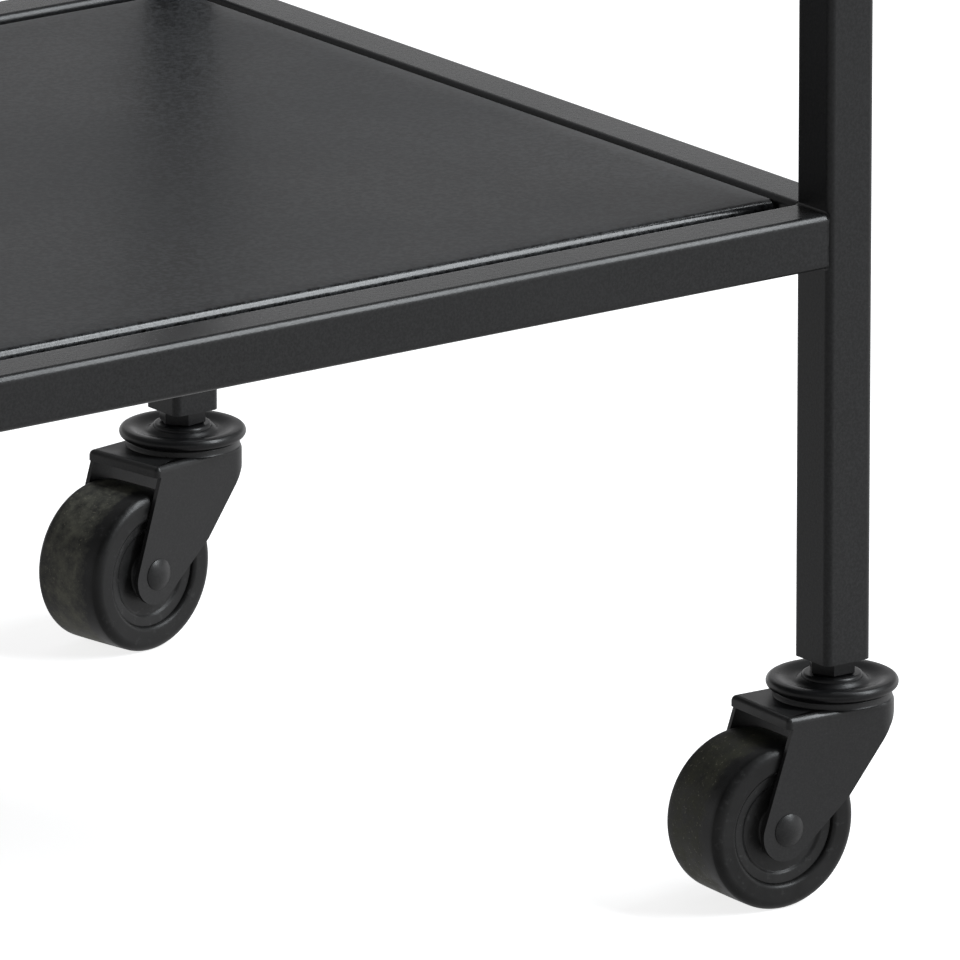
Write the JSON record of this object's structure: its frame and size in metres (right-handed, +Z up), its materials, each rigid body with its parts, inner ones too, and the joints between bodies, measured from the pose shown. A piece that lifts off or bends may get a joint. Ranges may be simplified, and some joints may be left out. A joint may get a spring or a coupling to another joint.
{
  "type": "rolling shelf cart",
  "caption": "Rolling shelf cart: square steel tube frame, solid sheet-steel shelf pans inset in the rails, and swivel stem casters with hard rubber wheels.",
  "frame": {"origin": "on the floor, under the middle of the frame", "axes": "+X to the right along the cart, +Y from front to back, +Z up"},
  "size_m": [0.6304, 0.4954, 0.8],
  "materials": {
    "frame_coat": "satin charcoal powder coat",
    "shelf_coat": "satin charcoal powder coat, fine speckle",
    "plug_plastic": "moulded matt",
    "zinc_steel": "zinc plated",
    "bearing_steel": "oiled",
    "caster_black": "semi-gloss black",
    "fork_black": "satin black",
    "core_rubber": "moulded hard rubber",
    "tyre_rubber": "hard rubber, dusty tread"
  },
  "bodies": {
    "frame": {"front_right_leg": "frame_coat", "back_right_leg": "frame_coat", "front_left_leg": "frame_coat", "back_left_leg": "frame_coat", "front_right_socket": "plug_plastic", "back_right_socket": "plug_plastic", "front_left_socket": "plug_plastic", "back_left_socket": "plug_plastic", "lower_front_rail": "frame_coat", "lower_back_rail": "frame_coat", "upper_front_rail": "frame_coat", "upper_back_rail": "frame_coat", "lower_right_rail": "frame_coat", "lower_left_rail": "frame_coat", "upper_right_rail": "frame_coat", "upper_left_rail": "frame_coat", "lower_pan": "shelf_coat", "lower_tabs": "frame_coat", "lower_screws": "zinc_steel", "lower_nuts": "zinc_steel", "upper_pan": "shelf_coat", "upper_tabs": "frame_coat", "upper_screws": "zinc_steel", "upper_nuts": "zinc_steel", "leg_caps": "plug_plastic", "front_right_stem": "caster_black", "front_right_top_plate": "caster_black", "back_right_stem": "caster_black", "back_right_top_plate": "caster_black", "front_left_stem": "caster_black", "front_left_top_plate": "caster_black", "back_left_stem": "caster_black", "back_left_top_plate": "caster_black"},
    "front_right_swivel": {"front_right_balls": "bearing_steel", "front_right_fork": "fork_black", "front_right_sleeve": "bearing_steel", "front_right_axle": "fork_black"},
    "front_right_wheel": {"front_right_wheel_core": "core_rubber", "front_right_tyre": "tyre_rubber"},
    "back_right_swivel": {"back_right_balls": "bearing_steel", "back_right_fork": "fork_black", "back_right_sleeve": "bearing_steel", "back_right_axle": "fork_black"},
    "back_right_wheel": {"back_right_wheel_core": "core_rubber", "back_right_tyre": "tyre_rubber"},
    "front_left_swivel": {"front_left_balls": "bearing_steel", "front_left_fork": "fork_black", "front_left_sleeve": "bearing_steel", "front_left_axle": "fork_black"},
    "front_left_wheel": {"front_left_wheel_core": "core_rubber", "front_left_tyre": "tyre_rubber"},
    "back_left_swivel": {"back_left_balls": "bearing_steel", "back_left_fork": "fork_black", "back_left_sleeve": "bearing_steel", "back_left_axle": "fork_black"},
    "back_left_wheel": {"back_left_wheel_core": "core_rubber", "back_left_tyre": "tyre_rubber"}
  },
  "joints": [
    {"name": "front_right_caster_swivel", "type": "hinge", "parent": "frame", "child": "front_right_swivel", "pos_m": [0.2889, -0.2214, 0.079], "axis": [0, 0, 1], "continuous": true},
    {"name": "front_right_wheel_spin", "type": "hinge", "parent": "front_right_swivel", "child": "front_right_wheel", "pos_m": [0.25444, -0.21984, 0.0335], "axis": [-0.0454, -0.999, 0], "continuous": true},
    {"name": "back_right_caster_swivel", "type": "hinge", "parent": "frame", "child": "back_right_swivel", "pos_m": [0.2889, 0.2214, 0.079], "axis": [0, 0, 1], "continuous": true},
    {"name": "back_right_wheel_spin", "type": "hinge", "parent": "back_right_swivel", "child": "back_right_wheel", "pos_m": [0.25486, 0.21577, 0.0335], "axis": [0.1633, -0.9866, 0], "continuous": true},
    {"name": "front_left_caster_swivel", "type": "hinge", "parent": "frame", "child": "front_left_swivel", "pos_m": [-0.2889, -0.2214, 0.079], "axis": [0, 0, 1], "continuous": true},
    {"name": "front_left_wheel_spin", "type": "hinge", "parent": "front_left_swivel", "child": "front_left_wheel", "pos_m": [-0.25482, -0.216, 0.0335], "axis": [-0.1564, 0.9877, 0], "continuous": true},
    {"name": "back_left_caster_swivel", "type": "hinge", "parent": "frame", "child": "back_left_swivel", "pos_m": [-0.2889, 0.2214, 0.079], "axis": [0, 0, 1], "continuous": true},
    {"name": "back_left_wheel_spin", "type": "hinge", "parent": "back_left_swivel", "child": "back_left_wheel", "pos_m": [-0.25542, 0.21305, 0.0335], "axis": [0.2419, 0.9703, 0], "continuous": true}
  ]
}
